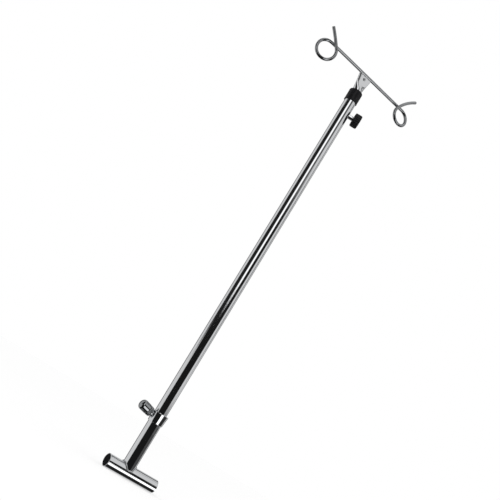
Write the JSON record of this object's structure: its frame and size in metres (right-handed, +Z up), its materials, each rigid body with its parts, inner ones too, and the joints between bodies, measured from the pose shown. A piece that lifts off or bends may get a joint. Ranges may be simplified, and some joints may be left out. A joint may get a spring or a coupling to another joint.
{
  "type": "iv drip stand",
  "caption": "Chrome telescopic drip pole on a T-shaped tube foot, with clamp screws for height and turn and a wire hook bar that ends in pigtail loops.",
  "frame": {"origin": "where the pole's axis crosses the axis of the cross tube at its foot", "axes": "+Z up the pole, +X along the cross tube towards its longer end and the black knob, -Y the front, where the hook tails cross the bar"},
  "size_m": [0.2669, 0.0452, 0.9485],
  "materials": {
    "chrome": "bright chrome plate on steel",
    "zinc_plated_steel": "bright zinc plate",
    "brass": "turned, plain",
    "black_plastic": "moulded, satin",
    "natural_nylon": "moulded, natural"
  },
  "bodies": {
    "foot": {"tee_tube": "chrome", "tee_plug_left": "black_plastic", "tee_plug_right": "black_plastic", "tee_weld_bead": "chrome", "socket_tube": "chrome", "socket_collar": "chrome", "lower_screw_boss": "chrome"},
    "lower_screw_tip": {"lower_screw_pad": "brass"},
    "lower_screw": {"lower_screw_stud": "zinc_plated_steel", "lower_screw_head": "chrome"},
    "main_glide": {"main_tube_glide": "natural_nylon"},
    "main_stage": {"main_tube": "chrome", "top_cap": "black_plastic", "guide_bushing": "natural_nylon", "knob_boss": "chrome"},
    "knob_tip": {"knob_pad": "brass"},
    "knob": {"knob_stud": "zinc_plated_steel", "knob_insert": "zinc_plated_steel", "knob_head": "black_plastic"},
    "hook_glide": {"inner_tube_glide": "natural_nylon"},
    "hook_stage": {"inner_tube": "chrome", "stop_sleeve": "zinc_plated_steel", "crimp_rivet": "zinc_plated_steel", "hook_wire": "chrome", "hook_weld_front": "chrome", "hook_weld_back": "chrome"}
  },
  "joints": [
    {"name": "main_stage_height", "type": "slide", "parent": "foot", "child": "main_glide", "axis": [0, 0, 1], "range_m": [0, 0.06]},
    {"name": "main_stage_turn", "type": "hinge", "parent": "main_glide", "child": "main_stage", "pos_m": [0, 0, 0.02], "axis": [0, 0, 1], "continuous": true},
    {"name": "hook_height", "type": "slide", "parent": "main_stage", "child": "hook_glide", "axis": [0, 0, 1], "range_m": [0, 0.6]},
    {"name": "hook_turn", "type": "hinge", "parent": "hook_glide", "child": "hook_stage", "pos_m": [0, 0, 0.06], "axis": [0, 0, 1], "continuous": true},
    {"name": "lower_screw_travel", "type": "slide", "parent": "foot", "child": "lower_screw_tip", "axis": [-0.9781, 0, 0.2079], "range_m": [0, 0.002]},
    {"name": "lower_screw_turn", "type": "hinge", "parent": "lower_screw_tip", "child": "lower_screw", "pos_m": [-0.0125, 0, 0.109], "axis": [-0.9781, 0, 0.2079], "range_deg": [0, 720]},
    {"name": "knob_travel", "type": "slide", "parent": "main_stage", "child": "knob_tip", "axis": [0.8988, -0.4384, 0], "range_m": [0, 0.002]},
    {"name": "knob_turn", "type": "hinge", "parent": "knob_tip", "child": "knob", "pos_m": [0.01123, -0.00548, 0.8028], "axis": [0.8988, -0.4384, 0], "range_deg": [0, 720]}
  ],
  "couplings": [
    {"joint": "lower_screw_turn", "follows": "lower_screw_travel", "rad_per_m": 6283.2},
    {"joint": "knob_turn", "follows": "knob_travel", "rad_per_m": 6283.2}
  ]
}
